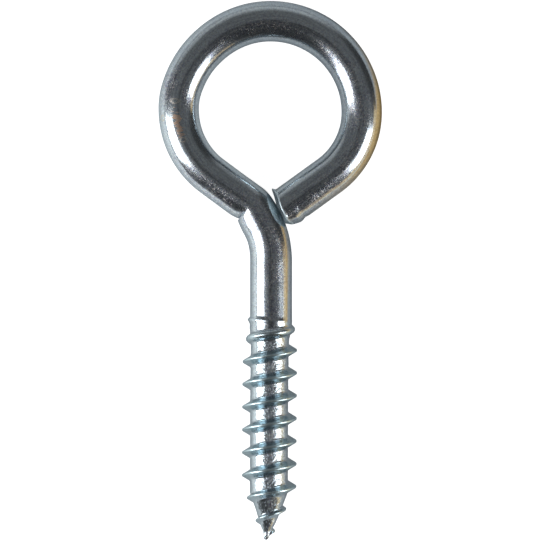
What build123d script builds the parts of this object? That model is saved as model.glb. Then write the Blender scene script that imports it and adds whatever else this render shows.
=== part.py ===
from build123d import *
import os
from math import asin, atan2, ceil, cos, degrees, floor, hypot, pi, radians, sin, tan

# Screw eye: one length of round steel wire, with a rolled wood thread and a closed eye.
#
# The wire lies in the XY plane while it is worked out, with its point at the origin, the
# shank up +Y and the eye at the top.  The thread is worked out standing up, about Z.
# The finished part is laid down the way it comes to rest on a table, on the crown of the
# eye and one crest of the thread.  Sizes are millimetres and angles are degrees.

# Wire and eye.
overall_length = 80.0
wire_diameter = 6.1
eye_inner_diameter = 21.0
shoulder_bend_radius = 11.6

# Neck: the shank leans out in a long bend, then turns sharply into the limb of the eye.
neck_bend_radius = 14.0
neck_bend_angle = 30.0
crease_angle = 24.0
crease_inner_radius = 0.3

# Sheared end of the wire, cut a little askew, which stops just short of the neck.
end_gap = 0.2
shear_slant = 10.0
shear_rake = 8.0

# Rolled thread: right handed, one start, standing proud of a thinner core.
thread_length = 32.5
thread_diameter = 8.1
core_diameter = 5.65
thread_pitch = 3.37
thread_angle = 60.0
crest_width = 0.22

# Point: the core comes to a cone and the ridge starts low on its right side.
point_length = 7.05
tip_diameter = 0.5
first_crest_height = 1.14
first_crest_diameter = 2.0
first_crest_width = 0.1
lead_in_turns = 0.2
point_turns = 2.0

# Run-out: the last turn of the ridge is low and blunt and dies away under the bead.
run_out_turns = 1.35
blunt_turns = 0.5
blunt_diameter = 7.3
blunt_crest_width = 0.6
run_out_diameter = 6.5
taper_length = 1.0

# Bead of metal pushed up round the shank where the thread rolling began.
bead_width = 0.9
bead_crest_width = 0.35
bead_height = 0.235
bead_offset = 0.165
bead_tilt = 3.4

# The ridge's root is buried at this share of the core's radius.
root_share = 0.75
points_per_turn = 16

wire_radius = wire_diameter / 2
core_radius = core_diameter / 2
tip_radius = tip_diameter / 2
eye_bend_radius = eye_inner_diameter / 2 + wire_radius
eye_height = overall_length - wire_radius - eye_bend_radius
crease_radius = wire_radius + crease_inner_radius
limb_angle = neck_bend_angle + crease_angle


# ------------------------------------------------------------------ bent wire


def heading(angle):
    """Unit vector in the plane of the eye, its angle counted from +X."""
    return Vector(cos(radians(angle)), sin(radians(angle)), 0)


def straight(start, direction, length):
    """A straight run of the wire."""
    return extrude(Plane(origin=start, z_dir=direction) * Circle(wire_radius), length)


def bend(start, centre, angle):
    """A bend of the wire about an upright axis, to the left where the angle is positive."""
    outwards = (start - centre).normalized()
    section = Plane(origin=start, x_dir=outwards, z_dir=Vector(0, 0, 1).cross(outwards))
    axis = Axis(centre, (0, 0, 1 if angle > 0 else -1))
    return revolve(section * Circle(wire_radius), axis, abs(angle))


# Which way the wire points after each bend, and how far the bends carry it sideways.
neck_heading = 90 + neck_bend_angle
limb_heading = 90 + limb_angle
neck_step = (heading(neck_heading - 90) - heading(0)) * neck_bend_radius
crease_step = (heading(limb_heading - 90) - heading(neck_heading - 90)) * crease_radius
shoulder_step = (heading(180) - heading(limb_heading + 90)) * shoulder_bend_radius
bends_step = neck_step + crease_step + shoulder_step

# The limb is as long as it takes to meet the left side of the eye, and the neck starts at
# the height that leaves the eye's centre on the line of the shank.
limb_length = (-eye_bend_radius - bends_step.X) / heading(limb_heading).X
neck_height = eye_height - bends_step.Y - limb_length * heading(limb_heading).Y

neck_start = Vector(0, neck_height, 0)
neck_centre = neck_start - Vector(neck_bend_radius, 0, 0)
crease_start = neck_start + neck_step
crease_centre = crease_start - heading(neck_heading - 90) * crease_radius
limb_start = crease_start + crease_step
limb_end = limb_start + heading(limb_heading) * limb_length
left_shoulder_centre = limb_end + heading(limb_heading - 90) * shoulder_bend_radius
eye_centre = Vector(0, eye_height, 0)
eye_left = eye_centre - Vector(eye_bend_radius, 0, 0)
eye_right = eye_centre + Vector(eye_bend_radius, 0, 0)
right_shoulder_centre = eye_right - Vector(shoulder_bend_radius, 0, 0)

# The tail mirrors the limb.  Its cut faces the outside of the neck's two bends, and the
# bend whose arc holds that direction is the one that it stops short of.
tail_direction = heading(-90 - limb_angle)
tail_start = right_shoulder_centre + heading(-limb_angle) * shoulder_bend_radius
facing_angle = 90 - limb_angle - shear_slant
if facing_angle < neck_bend_angle:
    nearest = neck_centre + heading(facing_angle) * (neck_bend_radius + wire_radius)
else:
    nearest = crease_centre + heading(facing_angle) * (crease_radius + wire_radius)
shear_point = nearest + heading(facing_angle) * end_gap
shear_heading = heading(facing_angle + 180)
tail_length = (shear_point - tail_start).dot(shear_heading) / tail_direction.dot(shear_heading)

# The rake leaves the upper side of the wire longer than the lower.
shear_normal = shear_heading * cos(radians(shear_rake)) - Vector(0, 0, sin(radians(shear_rake)))
shear_plane = Plane(origin=shear_point, z_dir=shear_normal)
offcut = shear_plane * Pos(0, 0, wire_diameter) * Box(*[4 * wire_diameter] * 2, 2 * wire_diameter)
tail = straight(tail_start, tail_direction, tail_length + wire_radius) - offcut

wire = [
    bend(neck_start, neck_centre, neck_bend_angle),
    bend(crease_start, crease_centre, crease_angle),
    straight(limb_start, heading(limb_heading), limb_length),
    bend(limb_end, left_shoulder_centre, -limb_angle),
    bend(eye_left, eye_centre, -180),
    bend(eye_right, right_shoulder_centre, -limb_angle),
    tail,
]


# ------------------------------------------------------------------ shank and thread


def core_at(height):
    """Radius of the core at a height above the tip."""
    share = min(1, max(0, height / point_length))
    return tip_radius + (core_radius - tip_radius) * share


def crest_height(turn):
    return first_crest_height + thread_pitch * turn


# Turns are counted from the first crest, so each whole turn has its crest on the right.
last_turn = (thread_length - first_crest_height) / thread_pitch
last_full_turn = last_turn - run_out_turns
lead_in_radius = 0.9 * core_at(crest_height(-lead_in_turns))

# Turn, radius and width of the ridge's crest, in a straight line from each to the next.
stations = [
    (-lead_in_turns, lead_in_radius, first_crest_width),
    (0, first_crest_diameter / 2, first_crest_width),
    (point_turns, thread_diameter / 2, crest_width),
    (last_full_turn, thread_diameter / 2, crest_width),
    (last_full_turn + blunt_turns, blunt_diameter / 2, blunt_crest_width),
    (last_turn, run_out_diameter / 2, blunt_crest_width),
]


def ridge_corners(turn, crest_radius, width):
    """Corners of the ridge's section: lower root, lower crest, upper crest, upper root."""
    height = crest_height(turn)
    depth = crest_radius - root_share * core_at(height)
    reach = width / 2 + depth * tan(radians(thread_angle / 2))
    corners = [
        (root_share * core_at(height - reach), height - reach),
        (crest_radius, height - width / 2),
        (crest_radius, height + width / 2),
        (root_share * core_at(height + reach), height + reach),
    ]
    spin = 2 * pi * turn
    return [(radius * cos(spin), radius * sin(spin), z) for radius, z in corners]


def ridge_length(first, last):
    """The length of ridge between two stations, a solid with ruled sides."""
    steps = max(4, ceil((last[0] - first[0]) * points_per_turn))
    sections = []
    for step in range(steps + 1):
        share = step / steps
        sections.append(ridge_corners(*[a + (b - a) * share for a, b in zip(first, last)]))
    rails = [Spline(*[section[corner] for section in sections]).edge() for corner in range(4)]
    sides = [Face.make_surface_from_curves(rails[i], rails[(i + 1) % 4]) for i in range(4)]
    ends = [make_face(Polyline(*section, close=True)).face() for section in (sections[0], sections[-1])]
    return Solid(Shell(sides + ends))


shank_profile = Polyline(
    (0, 0),
    (tip_radius, 0),
    (core_radius, point_length),
    (core_radius, thread_length - taper_length),
    (wire_radius, thread_length),
    (wire_radius, neck_height),
    (0, neck_height),
    close=True,
)
shank = revolve(Plane.XZ * make_face(shank_profile), Axis.Z)

bead_profile = Polyline(
    (core_radius, -bead_width / 2),
    (wire_radius + bead_height, -bead_crest_width / 2),
    (wire_radius + bead_height, bead_crest_width / 2),
    (core_radius, bead_width / 2),
    close=True,
)
bead = revolve(Plane.XZ * make_face(bead_profile), Axis.Z)
bead = Pos(-bead_offset, 0, thread_length) * Rot(0, bead_tilt, 0) * bead

ridge = [ridge_length(stations[i], stations[i + 1]) for i in range(len(stations) - 1)]
threaded = shank + [bead] + ridge
upright = Rot(-90, 0, 0) * threaded

screw_eye = upright + wire

# ------------------------------------------------------------------ laid down at rest

# It rests on the crown of the eye and on the last full crest that faces the table.
rest_height = crest_height(floor(last_full_turn - 0.25) + 0.25)
crown_distance = eye_height + eye_bend_radius - rest_height
span = hypot(crown_distance, thread_diameter / 2)
rest_angle = degrees(atan2(thread_diameter / 2, crown_distance) - asin(wire_radius / span))
screw_eye = Rot(-rest_angle, 0, 0) * screw_eye

# The origin is the middle of the footprint, on the table.
box = screw_eye.bounding_box()
screw_eye = Pos(-box.center().X, -box.center().Y, -box.min.Z) * screw_eye

screw_eye.label = "screw_eye"
os.makedirs("parts", exist_ok=True)
export_step(screw_eye, "parts/screw_eye.step")

print("limb", round(limb_length, 3), "tail", round(tail_length, 3), "neck height", round(neck_height, 3))
print("rest angle", round(rest_angle, 3), "rest height", round(rest_height, 3))
print("box", box.size)
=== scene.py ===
from math import asin, atan2, cos, degrees, exp, hypot, pi, radians, sin, tan

import bmesh
import bpy
from mathutils import Matrix, Vector, noise


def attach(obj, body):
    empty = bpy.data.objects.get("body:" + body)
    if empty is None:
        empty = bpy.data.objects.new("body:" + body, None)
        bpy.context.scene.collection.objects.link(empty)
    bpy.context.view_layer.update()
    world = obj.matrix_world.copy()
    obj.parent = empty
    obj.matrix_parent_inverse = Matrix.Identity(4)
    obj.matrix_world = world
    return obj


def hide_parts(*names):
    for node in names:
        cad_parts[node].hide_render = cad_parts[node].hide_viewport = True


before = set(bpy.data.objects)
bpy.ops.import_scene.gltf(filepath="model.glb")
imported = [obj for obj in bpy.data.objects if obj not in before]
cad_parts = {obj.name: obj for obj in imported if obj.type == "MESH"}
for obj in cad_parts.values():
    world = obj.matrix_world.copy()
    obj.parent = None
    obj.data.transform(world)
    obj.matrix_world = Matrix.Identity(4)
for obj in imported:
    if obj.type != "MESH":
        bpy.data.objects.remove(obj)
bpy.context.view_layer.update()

MM = 0.001
FULL_TURN = 2 * pi

# Sizes of the screw eye in millimetres, heights measured up the shank from the tip.
OVERALL = 80.0
WIRE_RADIUS = 3.05
EYE_BEND = 13.55
SHOULDER_BEND = 11.6
NECK_BEND, NECK_ANGLE = 14.0, 33.0
CREASE_BEND, CREASE_ANGLE = 3.35, 21.0
LIMB_ANGLE = NECK_ANGLE + CREASE_ANGLE
SHEAR_SLANT, SHEAR_RAKE, END_GAP = 6.0, -4.8, 0.10
THREAD_RADIUS = 4.05
PITCH = 3.37
FIRST_CREST = 1.14
THREAD_TOP = 32.5
LAST_TURN = (THREAD_TOP - FIRST_CREST) / PITCH
LAST_FULL_TURN = LAST_TURN - 1.35
JOIN = 34.5
FINE_END = 1.1
SHEAR_REACH = 4.5
CUT_BOW = 0.16

# Points round the wire, and the turn of the thread that touches the table.
AROUND = 120
RESTING_TURN = 7.25


# ---------------------------------------------------------------- centre line of the wire


def heading(angle):
    return Vector((cos(radians(angle)), sin(radians(angle)), 0))


class WireRun:
    """The centre line, walked from the join above the thread to the sheared end."""

    def __init__(self):
        self.points = []
        self.sides = []
        self.lengths = []
        self.place = Vector((0, JOIN, 0))
        self.angle = 90.0
        self.length = JOIN
        self.mark()

    def mark(self):
        self.points.append(self.place.copy())
        self.sides.append(heading(self.angle - 90))
        self.lengths.append(self.length)

    def straight(self, length, steps):
        start = self.place.copy()
        for step in range(1, steps + 1):
            self.place = start + heading(self.angle) * (length * step / steps)
            self.length += length / steps
            self.mark()

    def bend(self, radius, turn, steps):
        """Positive turns go to the left."""
        left = 1 if turn > 0 else -1
        centre = self.place + heading(self.angle + 90 * left) * radius
        start = self.angle
        for step in range(1, steps + 1):
            self.angle = start + turn * step / steps
            self.place = centre - heading(self.angle + 90 * left) * radius
            self.length += radius * radians(abs(turn)) / steps
            self.mark()


def bends_carry():
    """How far the neck, the crease and the left shoulder carry the wire together."""
    neck = (heading(NECK_ANGLE) - heading(0)) * NECK_BEND
    crease = (heading(LIMB_ANGLE) - heading(NECK_ANGLE)) * CREASE_BEND
    shoulder = (heading(180) - heading(LIMB_ANGLE + 180)) * SHOULDER_BEND
    return neck + crease + shoulder


carry = bends_carry()
LIMB_LENGTH = (-EYE_BEND - carry.x) / heading(90 + LIMB_ANGLE).x
EYE_HEIGHT = OVERALL - WIRE_RADIUS - EYE_BEND
NECK_HEIGHT = EYE_HEIGHT - carry.y - LIMB_LENGTH * heading(90 + LIMB_ANGLE).y
NECK_CENTRE = Vector((-NECK_BEND, NECK_HEIGHT, 0))
CREASE_AT = NECK_HEIGHT + NECK_BEND * radians(NECK_ANGLE) + CREASE_BEND * radians(CREASE_ANGLE) / 2

# The tail ends where its skewed cut clears the outside of the neck.
TAIL_HEADING = heading(-90 - LIMB_ANGLE)
RIGHT_SHOULDER = Vector((EYE_BEND - SHOULDER_BEND, EYE_HEIGHT, 0))
TAIL_START = RIGHT_SHOULDER + heading(-LIMB_ANGLE) * SHOULDER_BEND
FACING = 90 - LIMB_ANGLE - SHEAR_SLANT
SHEAR_POINT = NECK_CENTRE + heading(FACING) * (NECK_BEND + WIRE_RADIUS + END_GAP)
SHEAR_HEADING = heading(FACING + 180)
TAIL_LENGTH = (SHEAR_POINT - TAIL_START).dot(SHEAR_HEADING) / TAIL_HEADING.dot(SHEAR_HEADING)

run = WireRun()
run.straight(NECK_HEIGHT - JOIN, 14)
run.bend(NECK_BEND, NECK_ANGLE, 26)
run.bend(CREASE_BEND, CREASE_ANGLE, 20)
run.straight(LIMB_LENGTH, 28)
run.bend(SHOULDER_BEND, -LIMB_ANGLE, 26)
EYE_STARTS = run.length
run.bend(EYE_BEND, -180, 96)
run.bend(SHOULDER_BEND, -LIMB_ANGLE, 26)
run.straight(TAIL_LENGTH - FINE_END, 28)
run.straight(FINE_END, 26)
WIRE_END = run.length


def route_mesh():
    """The centre line as loose points, with the way to the right side and the length so far."""
    mesh = bpy.data.meshes.new("wire_route")
    mesh.from_pydata([point * MM for point in run.points], [], [])
    side = mesh.attributes.new("side", "FLOAT_VECTOR", "POINT")
    for item, way in zip(side.data, run.sides):
        item.vector = way
    along = mesh.attributes.new("along", "FLOAT", "POINT")
    for item, length in zip(along.data, run.lengths):
        item.value = length * MM
    return mesh


# ---------------------------------------------------------------- node building helpers


def node_output(tree, kind, inputs=None, output=0, **settings):
    """Adds a node, sets it up, feeds its inputs with numbers or sockets and gives one output."""
    node = tree.nodes.new(kind)
    for name, value in settings.items():
        setattr(node, name, value)
    for key, value in (inputs or {}).items():
        if isinstance(value, bpy.types.NodeSocket):
            tree.links.new(value, node.inputs[key])
        else:
            node.inputs[key].default_value = value
    return node.outputs[output]


def vector_math(tree, operation, inputs, output=0):
    return node_output(tree, "ShaderNodeVectorMath", inputs, output=output, operation=operation)


def split_place(tree, vector):
    """The three parts of a vector."""
    split = tree.nodes.new("ShaderNodeSeparateXYZ")
    tree.links.new(vector, split.inputs[0])
    return split.outputs


def empty_tree(owner):
    """The node tree of a new material or world, with nothing in it yet."""
    owner.use_nodes = True
    owner.node_tree.nodes.clear()
    return owner.node_tree


def put_in_scene(name, data):
    thing = bpy.data.objects.new(name, data)
    bpy.context.scene.collection.objects.link(thing)
    return thing


class Sums:
    """Short names for the sums that a tree works out."""

    def __init__(self, tree):
        self.tree = tree

    def do(self, operation, *values):
        return node_output(
            self.tree, "ShaderNodeMath", dict(enumerate(values)), operation=operation
        )

    def add(self, a, b):
        return self.do("ADD", a, b)

    def take(self, a, b):
        return self.do("SUBTRACT", a, b)

    def times(self, a, b):
        return self.do("MULTIPLY", a, b)

    def share(self, a, b):
        return self.do("DIVIDE", a, b)

    def larger(self, a, b):
        return self.do("MAXIMUM", a, b)

    def smaller(self, a, b):
        return self.do("MINIMUM", a, b)

    def soft_larger(self, a, b, width):
        return self.do("SMOOTH_MAX", a, b, width)

    def ramp(self, value, low, high, start, end, smooth=False):
        inputs = {0: value, 1: low, 2: high, 3: start, 4: end}
        kind = "SMOOTHSTEP" if smooth else "LINEAR"
        return node_output(self.tree, "ShaderNodeMapRange", inputs, interpolation_type=kind)

    def bump(self, value, middle, width):
        """A bell of height one about the middle."""
        offset = self.share(self.take(value, middle), width)
        return self.do("EXPONENT", self.times(self.times(offset, offset), -1.0))


# ---------------------------------------------------------------- the wire's surface

SIZES = {
    "Core radius": 2.825,
    "Shank radius": 3.12,
    "Eye wire radius": 3.01,
    "Point length": 7.05,
    "Tip radius": 0.27,
    "Thread radius": THREAD_RADIUS,
    "Thread pitch": PITCH,
    "First crest height": FIRST_CREST,
    "Thread top": THREAD_TOP,
    "Neck height": NECK_HEIGHT,
    "Join height": JOIN,
    "Crest width": 0.25,
    "Root fillet": 0.3,
    "Bead height": 0.09,
}
# Rows crowd towards the crests, patterns are drawn out along the wire, heights in millimetres.
ROWS_PER_TURN = 34
THREAD_TURNS = 12
CROWDING = 0.62
DRAWN_OUT = 0.06
SEAM = 0.002
WAVE_HEIGHT, CRUSH_HEIGHT, DENT_HEIGHT = 0.016, 0.045, 0.030


def grid_counts(build, tree, rows, columns):
    """A grid whose x counts rows and whose y counts columns, and those two counts as fields."""
    grid = tree.nodes.new("GeometryNodeMeshGrid")
    grid.inputs["Size X"].default_value = rows
    grid.inputs["Size Y"].default_value = columns
    grid.inputs["Vertices X"].default_value = rows + 1
    grid.inputs["Vertices Y"].default_value = columns + 1
    place = node_output(tree, "GeometryNodeInputPosition")
    split = split_place(tree, place)
    row = build.do("ROUND", build.add(split[0], rows / 2))
    column = build.do("ROUND", build.add(split[1], columns / 2))
    return grid.outputs["Mesh"], row, column


def keep(tree, geometry, kind, name, value):
    """Stores a field on the points under a name."""
    return node_output(
        tree,
        "GeometryNodeStoreNamedAttribute",
        {"Geometry": geometry, "Name": name, "Value": value},
        data_type=kind,
        domain="POINT",
    )


def kept(tree, kind, name):
    return node_output(tree, "GeometryNodeInputNamedAttribute", {"Name": name}, data_type=kind)


def thread_rows(build, tree, size):
    """Rows that run round the shank with the thread, so every crest and root is one of them."""
    mesh, row, column = grid_counts(build, tree, ROWS_PER_TURN * THREAD_TURNS, AROUND)
    turn = build.do("FLOOR", build.share(row, ROWS_PER_TURN))
    row_in_turn = build.take(row, build.times(turn, ROWS_PER_TURN))
    phase = build.take(build.share(row_in_turn, ROWS_PER_TURN), 0.5)
    crowd = build.times(build.do("SINE", build.times(phase, FULL_TURN)), CROWDING / FULL_TURN)
    step = build.take(phase, crowd)
    around = build.share(column, AROUND)
    crest = build.add(build.take(turn, 1.0), around)
    crest_height = build.add(size["First crest height"], build.times(size["Thread pitch"], crest))
    height = build.add(crest_height, build.times(step, size["Thread pitch"]))
    along = build.smaller(build.larger(height, 0.0), size["Join height"])
    centre = node_output(tree, "ShaderNodeCombineXYZ", {1: along})
    mesh = keep(tree, mesh, "FLOAT_VECTOR", "side", (1.0, 0.0, 0.0))
    mesh = keep(tree, mesh, "FLOAT_VECTOR", "centre", centre)
    mesh = keep(tree, mesh, "FLOAT", "turn", crest)
    mesh = keep(tree, mesh, "FLOAT", "from_crest", build.take(along, crest_height))
    mesh = keep(tree, mesh, "FLOAT", "around", around)
    return keep(tree, mesh, "FLOAT", "along", along)


def route_rows(build, tree, route):
    """Plain rings along the bent part of the wire."""
    mesh, row, column = grid_counts(build, tree, len(run.points) - 1, AROUND)

    def at_row(kind, value):
        return node_output(
            tree,
            "GeometryNodeSampleIndex",
            {"Geometry": route, "Value": value, "Index": row},
            data_type=kind,
            domain="POINT",
        )

    centre = at_row("FLOAT_VECTOR", node_output(tree, "GeometryNodeInputPosition"))
    side = at_row("FLOAT_VECTOR", kept(tree, "FLOAT_VECTOR", "side"))
    along = at_row("FLOAT", kept(tree, "FLOAT", "along"))
    mesh = keep(tree, mesh, "FLOAT", "along", along)
    mesh = keep(tree, mesh, "FLOAT_VECTOR", "side", side)
    mesh = keep(tree, mesh, "FLOAT", "turn", 99.0)
    mesh = keep(tree, mesh, "FLOAT", "from_crest", 0.01)
    mesh = keep(tree, mesh, "FLOAT", "around", build.share(column, AROUND))
    return keep(tree, mesh, "FLOAT_VECTOR", "centre", centre)


def plain_radius(build, size, along):
    """The wire without its ridge: point, core, shank and eye."""
    cone = build.ramp(along, 0.0, size["Point length"], size["Tip radius"], size["Core radius"])
    waist = build.times(build.bump(along, 1.25 * MM, 0.65 * MM), -0.17 * MM)
    cone = build.add(cone, waist)
    short = build.take(1.0, build.smaller(build.share(along, size["Tip radius"]), 1.0))
    round_tip = build.do("SQRT", build.larger(build.take(1.0, build.times(short, short)), 0.0))
    core = build.times(cone, round_tip)
    taper = build.ramp(
        along,
        build.take(size["Thread top"], 3.2 * MM),
        build.take(size["Thread top"], 0.9 * MM),
        0.0,
        build.take(size["Shank radius"], size["Core radius"]),
        smooth=True,
    )
    drawn = build.ramp(
        along,
        build.take(size["Neck height"], 1 * MM),
        build.add(size["Neck height"], 12 * MM),
        0.0,
        build.take(size["Shank radius"], size["Eye wire radius"]),
        smooth=True,
    )
    return build.take(build.add(core, taper), drawn)


def ridge_radius(build, size, turn, from_crest, around):
    """The ridge on its own: low at the point, full on the core, blunt and dying at the top."""
    lead_in = build.ramp(turn, -0.3, 0.04, -0.5 * MM, 1.16 * MM, smooth=True)
    droop = build.ramp(turn, LAST_FULL_TURN + 0.55, LAST_TURN, 0.0, 0.42 * MM, smooth=True)
    from_crest = build.add(from_crest, droop)
    climb = build.ramp(turn, 0.0, 2.02, 0.0, build.take(size["Thread radius"], 1.16 * MM))
    blunted, fading = LAST_FULL_TURN + 0.5, LAST_TURN - 0.32
    blunt = build.ramp(turn, LAST_FULL_TURN - 0.1, blunted, 0.0, 0.38 * MM, smooth=True)
    sink = build.ramp(turn, blunted, fading, 0.0, 0.06 * MM)
    fade = build.ramp(turn, fading, LAST_TURN + 0.12, 0.0, 1.3 * MM, smooth=True)
    crest = build.take(build.add(lead_in, climb), build.add(blunt, build.add(sink, fade)))
    lopsided = build.times(build.do("COSINE", build.times(around, FULL_TURN)), 0.05 * MM)
    crest = build.add(crest, lopsided)
    fatten = build.ramp(turn, LAST_FULL_TURN, LAST_FULL_TURN + 0.6, 0.0, 0.45 * MM, smooth=True)
    thin = build.ramp(turn, 0.0, 2.0, 0.55, 1.0)
    width = build.add(build.times(size["Crest width"], thin), fatten)
    beyond = build.take(build.do("ABSOLUTE", from_crest), build.times(width, 0.5))
    rounding = build.add(build.times(fatten, 0.9), 0.07 * MM)
    slope = build.times(build.soft_larger(beyond, 0.0, rounding), 1 / tan(radians(30)))
    return build.take(crest, slope)


def bead_swell(build, size, along, around):
    """The ring of metal pushed up where rolling began, high on the left, lost on the right."""
    angle = build.times(around, FULL_TURN)
    to_right = build.do("COSINE", angle)
    lip = build.do("POWER", build.larger(build.times(to_right, -1.0), 0.0), 3.0)
    ring = build.take(size["Thread top"], build.times(to_right, 0.19 * MM))
    proud = build.times(size["Bead height"], build.take(1.0, build.times(to_right, 0.75)))
    proud = build.add(proud, build.times(lip, 0.20 * MM))
    width = build.ramp(build.take(along, ring), -0.06 * MM, 0.06 * MM, 0.44 * MM, 0.25 * MM)
    return build.times(build.bump(along, ring, width), proud)


def surface_noise(build, tree, scale, seed):
    """Smooth noise from minus one to one over the finished surface."""
    place = node_output(tree, "GeometryNodeInputPosition")
    value = node_output(
        tree,
        "ShaderNodeTexNoise",
        {"Vector": place, "W": seed, "Scale": scale, "Detail": 1.0, "Roughness": 0.55},
        noise_dimensions="4D",
    )
    return build.times(build.take(value, 0.5), 2.0)


def drawn_place(build, tree, along, around):
    """Where a point lies on the straight wire, squeezed along the run to draw out a pattern."""
    angle = build.times(around, FULL_TURN)
    across = build.times(build.do("COSINE", angle), WIRE_RADIUS * MM)
    over = build.times(build.do("SINE", angle), WIRE_RADIUS * MM)
    squeezed = build.times(along, DRAWN_OUT)
    return node_output(tree, "ShaderNodeCombineXYZ", {0: across, 1: over, 2: squeezed})


def wire_tree():
    """The whole wire, swept along its route with the thread rolled into its lower end."""
    tree = bpy.data.node_groups.new("rolled_wire", "GeometryNodeTree")
    face = tree.interface
    face.new_socket(name="Geometry", in_out="INPUT", socket_type="NodeSocketGeometry")
    face.new_socket(name="Finish", in_out="INPUT", socket_type="NodeSocketMaterial")
    for name in SIZES:
        face.new_socket(name=name, in_out="INPUT", socket_type="NodeSocketFloat")
    face.new_socket(name="Unevenness seed", in_out="INPUT", socket_type="NodeSocketFloat")
    face.new_socket(name="Geometry", in_out="OUTPUT", socket_type="NodeSocketGeometry")
    given = tree.nodes.new("NodeGroupInput").outputs
    size = {name: given[name] for name in SIZES}
    build = Sums(tree)

    join = tree.nodes.new("GeometryNodeJoinGeometry")
    tree.links.new(thread_rows(build, tree, size), join.inputs[0])
    tree.links.new(route_rows(build, tree, given["Geometry"]), join.inputs[0])
    mesh = join.outputs[0]

    along = kept(tree, "FLOAT", "along")
    around = kept(tree, "FLOAT", "around")
    mesh = keep(tree, mesh, "FLOAT_VECTOR", "drawn", drawn_place(build, tree, along, around))
    plain = plain_radius(build, size, along)
    turn, from_crest = kept(tree, "FLOAT", "turn"), kept(tree, "FLOAT", "from_crest")
    ridge = ridge_radius(build, size, turn, from_crest, around)
    fillet = build.smaller(size["Root fillet"], build.times(plain, 0.4))
    both = build.soft_larger(plain, ridge, fillet)
    top = size["Thread top"]
    threaded = build.ramp(along, build.take(top, 0.4 * MM), build.add(top, 0.4 * MM), 1.0, 0.0)
    radius = build.add(plain, build.times(build.take(both, plain), threaded))
    radius = build.add(radius, bead_swell(build, size, along, around))

    # Out from the centre line: to the right at the seam, then down, left and up.
    angle = build.times(around, FULL_TURN)
    side, centre = kept(tree, "FLOAT_VECTOR", "side"), kept(tree, "FLOAT_VECTOR", "centre")
    sideways = vector_math(tree, "SCALE", {0: side, "Scale": build.do("COSINE", angle)})
    rise = build.times(build.do("SINE", angle), -1.0)
    upright = node_output(tree, "ShaderNodeCombineXYZ", {2: rise})
    outward = vector_math(tree, "ADD", {0: sideways, 1: upright})
    reach = vector_math(tree, "SCALE", {0: outward, "Scale": radius})
    place = vector_math(tree, "ADD", {0: centre, 1: reach})
    proud = build.ramp(build.take(radius, plain), 0.05 * MM, 0.9 * MM, 0.0, 1.0)
    mesh = keep(tree, mesh, "FLOAT_VECTOR", "outward", outward)
    mesh = keep(tree, mesh, "FLOAT", "ridge", proud)
    mesh = node_output(tree, "GeometryNodeSetPosition", {"Geometry": mesh, "Position": place})

    # Drawn and rolled metal is never quite even: slow waves all over, crushed metal in the thread.
    in_thread = build.ramp(along, build.take(top, 1.5 * MM), top, 1.0, 0.0)
    near_point = build.ramp(along, 4 * MM, 12 * MM, 1.4, 1.0)
    seed = given["Unevenness seed"]
    waves = build.times(surface_noise(build, tree, 320.0, seed), WAVE_HEIGHT * MM)
    crushed = surface_noise(build, tree, 2100.0, build.add(seed, 3.0))
    crushed = build.times(crushed, CRUSH_HEIGHT * MM)
    dents = surface_noise(build, tree, 800.0, build.add(seed, 7.0))
    dents = build.times(dents, DENT_HEIGHT * MM)
    on_ridge = build.ramp(kept(tree, "FLOAT", "ridge"), 0.0, 0.22, 0.0, 1.0, smooth=True)
    bare_core = build.take(1.0, on_ridge)
    rough = build.times(build.add(crushed, dents), in_thread)
    rough = build.times(rough, build.times(bare_core, near_point))
    off_the_tip = build.ramp(along, 0.0, 0.3 * MM, 0.0, 1.0)
    height = build.times(build.add(waves, rough), off_the_tip)
    lift = vector_math(tree, "SCALE", {0: kept(tree, "FLOAT_VECTOR", "outward"), "Scale": height})
    mesh = node_output(tree, "GeometryNodeSetPosition", {"Geometry": mesh, "Offset": lift})

    joined = {"Geometry": mesh, "Distance": SEAM * MM}
    mesh = node_output(tree, "GeometryNodeMergeByDistance", joined)
    mesh = node_output(tree, "GeometryNodeSetShadeSmooth", {"Geometry": mesh})
    mesh = node_output(tree, "GeometryNodeRealizeInstances", {"Geometry": mesh})
    finished = {"Geometry": mesh, "Material": given["Finish"]}
    mesh = node_output(tree, "GeometryNodeSetMaterial", finished)
    tree.links.new(mesh, tree.nodes.new("NodeGroupOutput").inputs[0])
    return tree


def rolled_wire(finish):
    """The wire as a plain mesh, still lying along its drawing lines."""
    maker = put_in_scene("screw_eye_wire", route_mesh())
    tree = wire_tree()
    modifier = maker.modifiers.new("rolled_wire", "NODES")
    modifier.node_group = tree
    values = {name: value * MM for name, value in SIZES.items()}
    values["Finish"] = finish
    values["Unevenness seed"] = 11.0
    for item in tree.interface.items_tree:
        if item.in_out == "INPUT" and item.name in values:
            modifier[item.identifier] = values[item.name]
    bpy.context.view_layer.update()
    swept = maker.evaluated_get(bpy.context.evaluated_depsgraph_get())
    mesh = bpy.data.meshes.new_from_object(swept)
    bpy.data.objects.remove(maker)
    mesh.name = "screw_eye_wire"
    mesh.materials.clear()
    mesh.materials.append(finish)
    mesh.polygons.foreach_set("material_index", [0] * len(mesh.polygons))
    return mesh


# ---------------------------------------------------------------- hand work on the swept wire


def bell(value, middle, width):
    return exp(-(((value - middle) / width) ** 2))


def smooth_step(value, low, high):
    share = min(1.0, max(0.0, (value - low) / (high - low)))
    return share * share * (3 - 2 * share)


def press_crease(along, inner):
    """How far the tight bend moves the wire's inner side out, in millimetres."""
    beyond = along - CREASE_AT
    bulge = 0.21 * bell(beyond, -2.5, 1.9) * smooth_step(inner, -0.5, 1.05)
    tuck = -0.34 * bell(beyond, 0.0, 1.15) * smooth_step(beyond, -0.10, 0.06)
    return bulge + (tuck - 0.08 * bell(beyond, -0.3, 0.5)) * smooth_step(inner, 0.25, 0.8)


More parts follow.
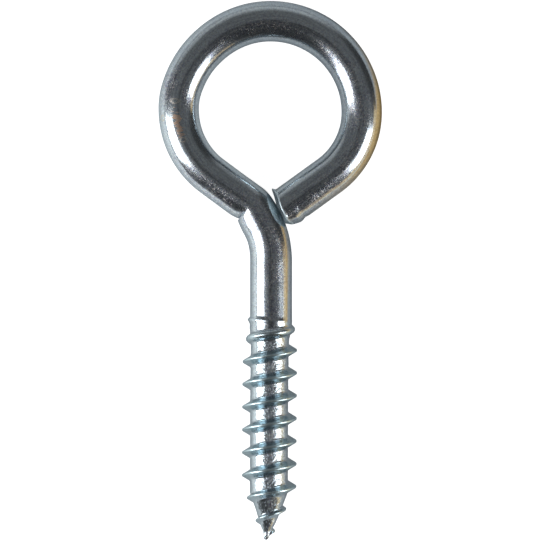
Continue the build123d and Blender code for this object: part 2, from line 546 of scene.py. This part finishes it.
def lean_of_wire(along):
    """The shank stands a little right of the eye, and the rolled part leans back to the left."""
    shank = 0.125 * (1 - smooth_step(along, 44.5, 50.5))
    below = max(0.0, THREAD_TOP - along)
    hooked_tip = 0.40 * (max(0.0, below - 25.5) / 7) ** 2
    return shank - 0.27 * (1 - exp(-below / 4.5)) - 0.0022 * below - hooked_tip


def eye_wobble(along):
    """Hand bending leaves the eye a little out of round: the move away from its centre."""
    angle = degrees((along - EYE_STARTS) / EYE_BEND)
    flat_shoulder = -0.085 * bell(angle, 48, 20) - 0.09 * bell(angle, -28, 22)
    return flat_shoulder + 0.06 * bell(angle, 150, 60) + 0.10 * bell(angle, 9, 11)


def shear_shift(along, side, up):
    """How far the skewed cut draws the end of the tail out or in along the tail."""
    share = smooth_step(along, WIRE_END - SHEAR_REACH, WIRE_END)
    skew = WIRE_RADIUS * (side * tan(radians(-SHEAR_SLANT)) + up * tan(radians(SHEAR_RAKE)))
    back = 0.72 * smooth_step(side, -0.1, 1.1) + 0.54 * smooth_step(-side, 0.6, 1.0) - 0.14
    return share * (skew - back)


def wire_places(mesh):
    """Each point's length along the wire and its ways outward and to the wire's right side."""
    along_of = [item.value / MM for item in mesh.attributes["along"].data]
    outward_of = [item.vector.copy() for item in mesh.attributes["outward"].data]
    side_of = [item.vector.copy() for item in mesh.attributes["side"].data]
    return list(zip(along_of, outward_of, side_of))


def work_the_wire(mesh):
    """Crease, lean and shear, read from where each point lies along and around the wire."""
    for vertex, (along, outward, side) in zip(mesh.vertices, wire_places(mesh)):
        to_right = outward.dot(side)
        move = outward * press_crease(along, -to_right)
        move.x += lean_of_wire(along)
        if along > NECK_HEIGHT:
            move -= side * eye_wobble(along)
        if along > WIRE_END - 5:
            move += TAIL_HEADING * shear_shift(along, to_right, outward.z)
            move += outward * rim_lift(WIRE_END - along, atan2(-outward.z, to_right))
        vertex.co += move * MM
    mesh.update()


def rim_lift(back, turn):
    """The sheared rim: rolled over on top and outside, with a thin burr on the inner side."""
    ragged = noise.noise(Vector((cos(turn) * 1.9, sin(turn) * 1.9, 4.0)))
    inner = max(0.0, cos(turn - 0.15))
    outer = max(0.0, -cos(turn))
    roll = 0.38 + 0.13 * ragged
    into = min(1.0, max(0.0, 1 - back / roll))
    rolled = 0.62 * roll * (1 - (1 - into * into) ** 0.5)
    burr = 0.46 * inner**5 * bell(back, 0.06, 0.22)
    belly = -0.34 * outer**3 * bell(back, 0.0, 0.75) + 0.10 * outer**2 * bell(back, 1.55, 0.45)
    belly -= 0.10 * outer**2 * bell(back, 2.5, 0.35)
    return burr + belly - rolled * (1 - 0.9 * inner**4)


def close_sheared_end(mesh):
    """Closes the open rim with rings that bow and tear the way a sheared face does."""
    shape = bmesh.new()
    shape.from_mesh(mesh)
    rim = [edge for edge in shape.edges if edge.is_boundary]
    ring = ordered_rim(rim)
    centre = sum((vertex.co for vertex in ring), Vector()) / len(ring)
    for edge in rim:
        edge.smooth = False
    cut = shape.verts.layers.float["cut"]
    rings = [ring]
    for share in (0.93, 0.82, 0.68, 0.52, 0.36, 0.2):
        inner = []
        for vertex in ring:
            place = centre + (vertex.co - centre) * share
            torn = noise.noise(place / MM * 1.6) * 0.10 + noise.noise(place / MM * 5.0) * 0.05
            bow = CUT_BOW * (1 - share * share)
            inner.append(shape.verts.new(place + TAIL_HEADING * (torn - bow) * MM))
            inner[-1][cut] = 1.0
        rings.append(inner)
    middle = shape.verts.new(centre - TAIL_HEADING * CUT_BOW * MM)
    middle[cut] = 1.0
    count = len(ring)
    for outer, inner in zip(rings, rings[1:]):
        for index in range(count):
            after = (index + 1) % count
            shape.faces.new((outer[index], outer[after], inner[after], inner[index]))
    for index in range(count):
        shape.faces.new((rings[-1][index], rings[-1][(index + 1) % count], middle))
    for face in shape.faces:
        face.smooth = True
    bmesh.ops.recalc_face_normals(shape, faces=shape.faces)
    if shape.calc_volume(signed=True) < 0:
        bmesh.ops.reverse_faces(shape, faces=shape.faces)
    shape.to_mesh(mesh)
    shape.free()


def ordered_rim(rim):
    """The rim's points in order round the wire."""
    neighbours = {}
    for edge in rim:
        first, second = edge.verts
        neighbours.setdefault(first, []).append(second)
        neighbours.setdefault(second, []).append(first)
    start = rim[0].verts[0]
    ring, before = [start], None
    while True:
        here = ring[-1]
        ways = [vertex for vertex in neighbours[here] if vertex is not before]
        before = here
        if ways[0] is start or len(ring) > len(rim):
            return ring
        ring.append(ways[0])


# Where the plate is rubbed: (place along, place across, reach along, reach across, share).
SCUFFED = (
    (39.0, 0.00, 9.0, 0.40, 0.60),
    (43.8, 0.42, 4.6, 0.22, 0.65),
    (49.0, -0.10, 5.0, 0.45, 0.45),
    (56.0, -0.52, 6.5, 0.40, 0.80),
    (72.6, -0.55, 2.6, 0.32, 0.80),
    (71.2, 0.32, 1.6, 0.20, 0.80),
    (90.0, 0.34, 17.0, 0.40, 0.54),
    (87.0, 0.30, 9.0, 0.24, 0.20),
    (106.0, 0.40, 6.0, 0.32, 0.55),
    (113.0, -0.05, 9.0, 0.45, 0.45),
    (127.0, -0.40, 6.5, 0.40, 0.95),
)


def scuffed(along, across):
    """How rubbed and pitted the plate is at a place, from clean to rough."""
    share = 0.12
    for middle, side, reach, width, amount in SCUFFED:
        share += amount * bell(along, middle, reach) * bell(across, side, width)
    return min(1.0, share)


def share_out(mesh, name, shares):
    layer = mesh.attributes.new(name, "FLOAT", "POINT")
    layer.data.foreach_set("value", shares)


def mark_the_wear(mesh):
    """Writes where the plate is scuffed, crushed by rolling or left bare by the cut."""
    ridge_of = [item.value for item in mesh.attributes["ridge"].data]
    scuff, rolled, cut = [], [], []
    for (along, outward, side), ridge in zip(wire_places(mesh), ridge_of):
        across = outward.dot(side)
        threaded = 1 - smooth_step(along, THREAD_TOP - 3.6, THREAD_TOP - 2.6)
        core = threaded * (1 - smooth_step(ridge, 0.0, 0.35))
        crushed = core * (bell(across, 0.06, 0.30) + 0.55 * bell(across, 0.80, 0.17))
        scuff.append(scuffed(along, across) * (1 - threaded) + 0.50 * crushed)
        rolled.append(0.20 * core + 0.80 * crushed)
        cut.append(1 - smooth_step(WIRE_END - along, 0.10, 0.42))
    share_out(mesh, "scuff", scuff)
    share_out(mesh, "rolled", rolled)
    share_out(mesh, "cut", cut)


def rest_placing():
    """Lays the wire on the table: the crown of the eye and one crest touch it."""
    rest_height = FIRST_CREST + PITCH * RESTING_TURN
    reach = EYE_HEIGHT + EYE_BEND - rest_height
    tilt = atan2(THREAD_RADIUS, reach) - asin(WIRE_RADIUS / hypot(reach, THREAD_RADIUS))
    crown = EYE_HEIGHT + EYE_BEND
    low = crown * sin(tilt) + WIRE_RADIUS
    middle = (crown * cos(tilt) + WIRE_RADIUS) / 2
    return Matrix.Translation((0, -middle * MM, low * MM)) @ Matrix.Rotation(-tilt, 4, "X")


# ---------------------------------------------------------------- finish


def value_noise(tree, vector, scale, detail=3.0, roughness=0.5, seed=0.0):
    return node_output(
        tree,
        "ShaderNodeTexNoise",
        {"Vector": vector, "W": seed, "Scale": scale, "Detail": detail, "Roughness": roughness},
        noise_dimensions="4D",
    )


def mix_colours(tree, share, first, second):
    node = tree.nodes.new("ShaderNodeMix")
    node.data_type = "RGBA"
    for index, value in ((0, share), (6, first), (7, second)):
        if isinstance(value, bpy.types.NodeSocket):
            tree.links.new(value, node.inputs[index])
        else:
            node.inputs[index].default_value = value
    return node.outputs[2]


def patch_reach(tree, place, middle, half, turn):
    """How far a point lies from the middle of a patch, one at its edge; sizes in millimetres."""
    offset = vector_math(tree, "SUBTRACT", {0: place, 1: [value * MM for value in middle]})
    turned = node_output(
        tree,
        "ShaderNodeVectorRotate",
        {"Vector": offset, "Angle": radians(-turn)},
        rotation_type="Z_AXIS",
    )
    shares = vector_math(tree, "MULTIPLY", {0: turned, 1: [1 / (value * MM) for value in half]})
    return vector_math(tree, "LENGTH", {0: shares}, output=1)


# Dried marks on the eye, and a pale patch painted on its neck as a reflection: (middle, half sizes,
# turn).
RUST_FILM = ((-13.6, 21.45, 6.0), (0.78, 2.60, 4.0), 15.0)
DROP_RIMS = (
    ((-14.1, 25.0, 6.0), (0.62, 0.34, 2.0), -4.0),
    ((-12.9, 19.25, 6.0), (0.42, 0.30, 2.0), 20.0),
    ((-15.9, 22.5, 5.3), (0.22, 0.42, 1.3), 8.0),
)
PAINTED_REFLECTION_ON_NECK = ((0.22, 9.45, 5.5), (1.65, 0.62, 3.0), -56.0)


# Colours of the plate where it is thin, pitted, worn, rolled, stained or cut away, and of a
# reflection painted on the neck.
BLUE_PLATE = (0.33, 0.37, 0.56, 1)
PIT_BOTTOM = (0.20, 0.21, 0.26, 1)
BRIGHT_SPOT = (0.88, 0.92, 0.97, 1)
WORN_LINE = (0.26, 0.25, 0.28, 1)
ROLLED_RIDGE = (0.47, 0.61, 0.65, 1)
RUST = (0.42, 0.245, 0.13, 1)
DRIED_DROP = (0.62, 0.52, 0.36, 1)
BARE_CUT_AND_PAINTED_REFLECTION = (0.84, 0.95, 1.0, 1)


def plated_grain_group():
    """Colour, roughness and relief of bright zinc plate, in one group."""
    tree = bpy.data.node_groups.new("plated_grain", "ShaderNodeTree")
    face = tree.interface
    for name, kind in (
        ("Place", "NodeSocketVector"),
        ("Drawn", "NodeSocketVector"),
        ("Ridge", "NodeSocketFloat"),
        ("Scuff", "NodeSocketFloat"),
        ("Rolled", "NodeSocketFloat"),
        ("Cut", "NodeSocketFloat"),
        ("Grain size", "NodeSocketFloat"),
        ("Plate", "NodeSocketColor"),
        ("Stain", "NodeSocketColor"),
    ):
        face.new_socket(name=name, in_out="INPUT", socket_type=kind)
    for name, kind in (
        ("Colour", "NodeSocketColor"),
        ("Roughness", "NodeSocketFloat"),
        ("Relief", "NodeSocketFloat"),
    ):
        face.new_socket(name=name, in_out="OUTPUT", socket_type=kind)
    given = tree.nodes.new("NodeGroupInput").outputs
    out = tree.nodes.new("NodeGroupOutput").inputs
    build = Sums(tree)
    place, scuff = given["Place"], given["Scuff"]
    scale = build.share(1.0, given["Grain size"])

    fine = value_noise(tree, place, scale, 1.0, 0.5, 1.0)
    specks = value_noise(tree, place, build.times(scale, 1.15), 0.0, 0.5, 2.5)
    pits = value_noise(tree, place, build.times(scale, 0.8), 1.0, 0.6, 9.0)
    folds = value_noise(tree, place, 2400.0, 1.0, 0.5, 4.0)
    craters = value_noise(tree, place, 6200.0, 0.0, 0.5, 7.5)
    cloud = value_noise(tree, place, 480.0, 2.0, 0.55, 5.0)
    lines = value_noise(tree, given["Drawn"], 5200.0, 2.0, 0.6, 3.0)
    broad_lines = value_noise(tree, given["Drawn"], 1900.0, 1.0, 0.5, 6.0)
    here = build.times(scuff, build.ramp(cloud, 0.36, 0.58, 0.55, 1.15, smooth=True))

    dots = build.ramp(specks, 0.60, 0.72, 0.0, 1.0, smooth=True)
    pitted = build.ramp(here, 0.68, 1.15, 0.0, 1.0)
    grain = build.times(pitted, build.add(build.times(fine, 0.36), build.times(dots, 0.24)))
    drawn = build.add(build.times(lines, 0.12), build.times(broad_lines, 0.24))
    drawn = build.times(drawn, build.take(1.0, build.larger(given["Ridge"], given["Rolled"])))
    crushed = build.add(
        build.times(build.ramp(folds, 0.44, 0.60, 0.0, 1.0, smooth=True), 0.4),
        build.times(build.ramp(craters, 0.52, 0.66, 0.0, 1.0, smooth=True), 0.4),
    )
    crushed = build.times(crushed, given["Rolled"])
    height = split_place(tree, place)[2]
    steps = build.times(build.do("FRACT", build.times(height, 2500.0)), 3.0)
    torn = build.times(build.add(steps, build.times(fine, 0.5)), given["Cut"])
    relief = build.add(build.add(grain, crushed), build.add(build.times(fine, 0.05), drawn))
    relief = build.add(relief, torn)
    tree.links.new(relief, out["Relief"])

    rust = patch_reach(tree, place, *RUST_FILM)
    squeezed = vector_math(tree, "MULTIPLY", {0: place, 1: (0.45, 1.9, 1.0)})
    streaks = value_noise(tree, squeezed, 2300.0, 1.0, 0.5, 8.0)
    rust = build.ramp(build.add(rust, build.times(streaks, 2.6)), 1.60, 2.15, 1.0, 0.0, smooth=True)
    ring = None
    for mark in DROP_RIMS:
        wavy = build.add(patch_reach(tree, place, *mark), build.times(build.take(fine, 0.5), 0.9))
        rim = build.times(build.bump(wavy, 1.0, 0.30), 0.62)
        ring = rim if ring is None else build.larger(ring, rim)
    # Painted reflection: a pale patch on the neck stands in for the mirrored image of the lit cut
    # end.
    painted_neck_reflection = build.ramp(patch_reach(tree, place, *PAINTED_REFLECTION_ON_NECK), 0.35, 1.15, 1.0, 0.0, smooth=True)
    bare_cut_and_painted_reflection = build.larger(painted_neck_reflection, given["Cut"])

    amount = build.smaller(build.add(0.22, build.times(here, 1.1)), 1.0)
    colour = given["Plate"]
    blue = build.times(build.ramp(specks, 0.54, 0.40, 0.0, 0.8, smooth=True), amount)
    colour = mix_colours(tree, blue, colour, BLUE_PLATE)
    streaked = build.add(build.times(fine, 0.6), build.times(lines, 0.4))
    brown = build.times(build.ramp(streaked, 0.49, 0.58, 0.0, 0.75, smooth=True), amount)
    colour = mix_colours(tree, brown, colour, given["Stain"])
    dark_pit = build.times(build.ramp(pits, 0.48, 0.36, 0.0, 0.65, smooth=True), amount)
    colour = mix_colours(tree, dark_pit, colour, PIT_BOTTOM)
    bright_spot = build.times(build.ramp(pits, 0.54, 0.66, 0.0, 0.55, smooth=True), amount)
    colour = mix_colours(tree, bright_spot, colour, BRIGHT_SPOT)
    worn_line = build.ramp(lines, 0.54, 0.36, 0.0, 0.5, smooth=True)
    worn_line = build.smaller(build.times(worn_line, build.add(0.5, here)), 0.6)
    colour = mix_colours(tree, worn_line, colour, WORN_LINE)
    colour = mix_colours(tree, build.times(given["Ridge"], 0.65), colour, ROLLED_RIDGE)
    colour = mix_colours(tree, build.times(rust, 0.75), colour, RUST)
    colour = mix_colours(tree, build.times(ring, 0.7), colour, DRIED_DROP)
    # Bare steel on the cut face, and the same pale colour painted on the neck as a reflection.
    colour = mix_colours(tree, bare_cut_and_painted_reflection, colour, BARE_CUT_AND_PAINTED_REFLECTION)
    tree.links.new(colour, out["Colour"])

    flecks = build.times(build.ramp(fine, 0.55, 0.68, 0.0, 0.22, smooth=True), here)
    rough = build.add(build.add(0.12, build.times(cloud, 0.06)), flecks)
    rough = build.add(rough, build.add(build.times(given["Ridge"], 0.13), build.times(here, 0.08)))
    for mask, level in (
        (rust, 0.30),
        (ring, 0.25),
        (painted_neck_reflection, 0.05),
        (given["Cut"], 0.42),
        (given["Rolled"], 0.10),
    ):
        rough = build.add(rough, build.times(mask, level))
    tree.links.new(rough, out["Roughness"])
    return tree


def zinc_plate():
    """Bright blue-white zinc plate on drawn steel."""
    material = bpy.data.materials.new("bright_zinc_plate")
    tree = empty_tree(material)
    grain = tree.nodes.new("ShaderNodeGroup")
    grain.node_tree = plated_grain_group()
    tree.links.new(node_output(tree, "ShaderNodeTexCoord", output=3), grain.inputs["Place"])
    drawn = node_output(tree, "ShaderNodeAttribute", output=1, attribute_name="drawn")
    tree.links.new(drawn, grain.inputs["Drawn"])
    for share in ("Ridge", "Scuff", "Rolled", "Cut"):
        wear = node_output(tree, "ShaderNodeAttribute", output=2, attribute_name=share.lower())
        tree.links.new(wear, grain.inputs[share])
    grain.inputs["Grain size"].default_value = 0.00021
    grain.inputs["Plate"].default_value = (0.565, 0.665, 0.705, 1)
    grain.inputs["Stain"].default_value = (0.56, 0.51, 0.47, 1)
    bump = tree.nodes.new("ShaderNodeBump")
    bump.inputs["Strength"].default_value = 1.0
    bump.inputs["Distance"].default_value = 0.00004
    tree.links.new(grain.outputs["Relief"], bump.inputs["Height"])
    plate = tree.nodes.new("ShaderNodeBsdfPrincipled")
    plate.inputs["Metallic"].default_value = 1.0
    plate.inputs["Specular Tint"].default_value = (0.67, 0.705, 0.73, 1)
    tree.links.new(grain.outputs["Colour"], plate.inputs["Base Color"])
    tree.links.new(grain.outputs["Roughness"], plate.inputs["Roughness"])
    tree.links.new(bump.outputs["Normal"], plate.inputs["Normal"])
    out = tree.nodes.new("ShaderNodeOutputMaterial")
    tree.links.new(plate.outputs[0], out.inputs[0])
    return material


# The floor in metres, with x to the right of the shank and y up it.
MIDDLE_OF_EYE = (0.0, 0.0225, 0.0)
PAPER = (0.59, 0.606, 0.622, 1)
# A near-black that darkens the floor right of the eye for the metal: painted shadow.
PAINTED_SHADOW_BESIDE_EYE = (0.05, 0.055, 0.075, 1)
# Dim and bright glows that the floor shows only to the metal: a painted pool of light.
PAINTED_GLOW_DIM, PAINTED_GLOW_LIT = (0.08, 0.085, 0.088, 1), (0.98, 0.98, 0.93, 1)
# Tan colours and glows the floor shows only to the metal: a painted warm reflection.
PAINTED_WARM_BY_EYE, PAINTED_WARM_BY_THREAD = (0.72, 0.46, 0.185, 1), (0.60, 0.615, 0.55, 1)
PAINTED_WARM_GLOW_BY_EYE, PAINTED_WARM_GLOW_BY_THREAD = (0.33, 0.225, 0.115, 1), (0.48, 0.495, 0.43, 1)


def paper_floor():
    """Paper that glows white for the camera, and shows the metal a painted pool of light on the
    left, a painted warm reflection on the right and painted shadow near the part.
    """
    material = bpy.data.materials.new("pale_paper")
    tree = empty_tree(material)
    build = Sums(tree)
    place = node_output(tree, "ShaderNodeTexCoord", output=3)
    across, up = split_place(tree, place)[:2]
    # Painted pool of light on the floor left of the part, brightest level with the shank.
    painted_light_pool = build.ramp(across, 0.005, -0.022, 0.0, 1.0, smooth=True)
    painted_light_pool = build.add(painted_light_pool, build.ramp(across, -0.012, -0.045, 0.06, 0.55))
    painted_light_pool = build.times(painted_light_pool, build.bump(up, -0.004, 0.055))
    # Painted shadow on the floor under the left limb, dimming the painted pool of light.
    painted_shadow_under_limb = build.times(build.bump(across, -0.016, 0.008), build.bump(up, 0.008, 0.007))
    painted_light_pool = build.times(painted_light_pool, build.take(1.0, build.times(painted_shadow_under_limb, 0.30)))
    # A painted pool of light on the floor inside the eye.
    painted_light_in_eye = build.times(build.bump(across, 0.0, 0.010), build.bump(up, 0.019, 0.008))
    painted_light_pool = build.add(painted_light_pool, build.times(painted_light_in_eye, 0.30))
    # Painted warm reflection: a tan band on the floor right of the part, seen only in the metal.
    to_eye_side = build.times(build.smaller(build.larger(up, -0.010), 0.020), 0.9)
    painted_warm_reflection = build.ramp(build.add(across, to_eye_side), 0.007, 0.040, 0.0, 1.0, smooth=True)
    painted_warm_reflection = build.times(painted_warm_reflection, build.ramp(up, 0.026, 0.040, 1.0, 0.0, smooth=True))
    from_eye = vector_math(tree, "DISTANCE", {0: place, 1: MIDDLE_OF_EYE}, output=1)
    painted_warm_reflection = build.times(painted_warm_reflection, build.ramp(from_eye, 0.0105, 0.0165, 0.0, 1.0, smooth=True))

    by_shank = build.ramp(up, -0.016, -0.006, 0.15, 1.0, smooth=True)
    painted_warm_tint = mix_colours(tree, by_shank, PAINTED_WARM_BY_THREAD, PAINTED_WARM_BY_EYE)
    painted_warm_glow = mix_colours(tree, by_shank, PAINTED_WARM_GLOW_BY_THREAD, PAINTED_WARM_GLOW_BY_EYE)

    rays = tree.nodes.new("ShaderNodeLightPath")
    glossy, through_glass = rays.outputs["Is Glossy Ray"], rays.outputs["Is Transmission Ray"]
    metal_or_glass = build.larger(glossy, through_glass)
    # Glossy and glass rays see the paper tinted by the painted warm reflection.
    tint = mix_colours(tree, build.times(painted_warm_reflection, metal_or_glass), PAPER, painted_warm_tint)
    paper = node_output(tree, "ShaderNodeBsdfDiffuse", {"Color": tint})
    # The floor's glow for the metal: the painted pool of light over a dim level.
    painted_glow_in_metal = mix_colours(tree, build.times(painted_light_pool, 0.54), PAINTED_GLOW_DIM, PAINTED_GLOW_LIT)
    painted_glow_in_metal = mix_colours(tree, painted_warm_reflection, painted_glow_in_metal, painted_warm_glow)
    # Painted shadow on the floor right of the eye, seen only in the metal.
    right_of_eye = build.ramp(across, 0.002, 0.010, 0.0, 0.85)
    painted_shadow_beside_eye = build.times(build.bump(from_eye, 0.0200, 0.0030), right_of_eye)
    tint = mix_colours(tree, build.times(painted_shadow_beside_eye, metal_or_glass), tint, PAINTED_SHADOW_BESIDE_EYE)
    seen = build.times(rays.outputs["Is Camera Ray"], 0.93)
    to_eye = node_output(tree, "ShaderNodeEmission", {"Strength": seen})
    # Painted contact shadow: the floor's glow for the metal fades where the part hides the sky,
    # most on the right.
    near_by = {"Distance": 0.012}
    open_sky = node_output(tree, "ShaderNodeAmbientOcclusion", near_by, output=1, samples=4)
    right_side = build.ramp(across, -0.004, 0.006, 0.35, 1.0)
    far_side = build.larger(right_side, build.ramp(up, 0.024, 0.031, 0.35, 1.0))
    painted_contact_shadow = build.times(build.ramp(open_sky, 0.25, 0.85, 1.0, 0.0), far_side)
    shown = build.times(metal_or_glass, build.take(1.0, build.larger(painted_contact_shadow, painted_shadow_beside_eye)))
    to_metal = node_output(tree, "ShaderNodeEmission", {"Color": painted_glow_in_metal, "Strength": shown})
    glow = node_output(tree, "ShaderNodeAddShader", {0: to_eye, 1: to_metal})
    both = node_output(tree, "ShaderNodeAddShader", {0: paper, 1: glow})
    tree.links.new(both, tree.nodes.new("ShaderNodeOutputMaterial").inputs[0])
    return material


# ---------------------------------------------------------------- build the part

plate = zinc_plate()
wire_mesh = rolled_wire(plate)
work_the_wire(wire_mesh)
mark_the_wear(wire_mesh)
close_sheared_end(wire_mesh)
wire_mesh.transform(rest_placing())
lowest = min(vertex.co.z for vertex in wire_mesh.vertices)
wire_mesh.transform(Matrix.Translation((0, 0, -lowest)))
screw_eye = put_in_scene("screw_eye_wire", wire_mesh)
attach(screw_eye, "root")
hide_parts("screw_eye")


# ---------------------------------------------------------------- stage, light and camera


def make_floor():
    mesh = bpy.data.meshes.new("floor")
    half = 3.0
    corners = [(-half, -half, 0), (half, -half, 0), (half, half, 0), (-half, half, 0)]
    mesh.from_pydata(corners, [], [(0, 1, 2, 3)])
    mesh.materials.append(paper_floor())
    floor = put_in_scene("floor", mesh)


def make_panel(name, middle, across, rise, radiance, colour=(1, 1, 1)):
    """A flat glowing panel given by its middle and two sides, turned to shine on the part."""
    middle, across, rise = Vector(middle), Vector(across), Vector(rise)
    back = across.cross(rise).normalized()
    if back.dot(middle) < 0:
        across, back = -across, -back
    lamp = bpy.data.lights.new(name, "AREA")
    lamp.shape = "RECTANGLE"
    lamp.size = across.length
    lamp.size_y = rise.length
    lamp.energy = radiance * pi * lamp.size * lamp.size_y
    lamp.color = colour
    panel = put_in_scene(name, lamp)
    axes = zip(across.normalized(), rise.normalized(), back)
    rows = [(*row, place) for row, place in zip(axes, middle)]
    panel.matrix_world = Matrix(rows + [(0, 0, 0, 1)])
    panel.visible_camera = False


def sky_way(azimuth, polar):
    """The direction at an angle round from the right and an angle down from the zenith."""
    flat = sin(radians(polar))
    return (flat * cos(radians(azimuth)), flat * sin(radians(azimuth)), cos(radians(polar)))


def make_world():
    """A dim ceiling over a pale back wall, darker towards the front and beside the right panel."""
    world = bpy.data.worlds.new("studio")
    tree = empty_tree(world)
    build = Sums(tree)
    way = node_output(tree, "ShaderNodeTexCoord", output=0)
    height = split_place(tree, way)[2]

    def towards(azimuth, polar):
        return vector_math(tree, "DOT_PRODUCT", {0: way, 1: sky_way(azimuth, polar)}, output=1)

    wall = build.ramp(towards(106, 90), 0.42, 0.85, 0.0, 1.0, smooth=True)
    wall = build.times(wall, build.ramp(height, 0.12, 0.58, 0.37, 0.0, smooth=True))
    left_edge = build.ramp(towards(186, 89), 0.90, 0.99, 0.0, 0.50, smooth=True)
    right_edge = build.ramp(towards(-2, 58), 0.93, 0.99, 0.0, 0.04, smooth=True)
    front = build.ramp(towards(263, 48), 0.66, 0.88, 0.0, 0.095, smooth=True)
    lens = build.ramp(towards(262, 6), 0.975, 0.99, 0.0, 0.085, smooth=True)
    gap = build.ramp(towards(26, 78), 0.83, 0.96, 0.0, 0.085, smooth=True)
    high_left = build.ramp(towards(200, 32), 0.92, 0.99, 0.0, 0.13, smooth=True)
    lit = build.add(build.add(0.14, wall), build.add(build.add(left_edge, right_edge), high_left))
    level = build.take(lit, build.larger(build.larger(front, gap), lens))
    rays = tree.nodes.new("ShaderNodeLightPath")
    level = build.larger(level, rays.outputs["Is Camera Ray"])
    sky = {"Color": (1.0, 1.0, 1.0, 1), "Strength": level}
    glow = node_output(tree, "ShaderNodeBackground", sky)
    tree.links.new(glow, tree.nodes.new("ShaderNodeOutputWorld").inputs[0])
    bpy.context.scene.world = world


def make_camera():
    lens = bpy.data.cameras.new("camera")
    camera = put_in_scene("camera", lens)
    distance, seen, sensor = 0.6, 80.12 * MM, 36.0
    lens.sensor_width = sensor
    lens.lens = sensor * (distance - 0.004) / seen
    lens.clip_start, lens.clip_end = 0.01, 10.0
    camera.location = (-0.03 * MM, 0.0, distance)
    bpy.context.scene.camera = camera


make_floor()
make_panel("left_panel", (-0.2640, -0.0615, 0.167), (0, 0.151, 0), (0.072, 0, 0.216), 6.0)
make_panel("left_wing", (-0.223, -0.062, 0.300), (-0.092, 0.056, 0), (0.030, 0.050, 0.010), 3.0)
make_panel("right_panel", (0.2675, -0.0935, 0.1575), (0, 0.158, 0), (-0.061, 0, 0.155), 5.0)
make_panel("right_wing", (0.232, -0.083, 0.250), (0.104, 0.090, 0), (-0.032, 0.037, 0.010), 3.0)
WARM_LIGHT = (1.0, 0.70, 0.36)
make_panel("warm_card", (0.33, -0.2225, 0.055), (0, 0.555, 0), (0, 0, 0.11), 0.82, WARM_LIGHT)
make_world()
make_camera()
bpy.context.scene.view_settings.view_transform = "Standard"
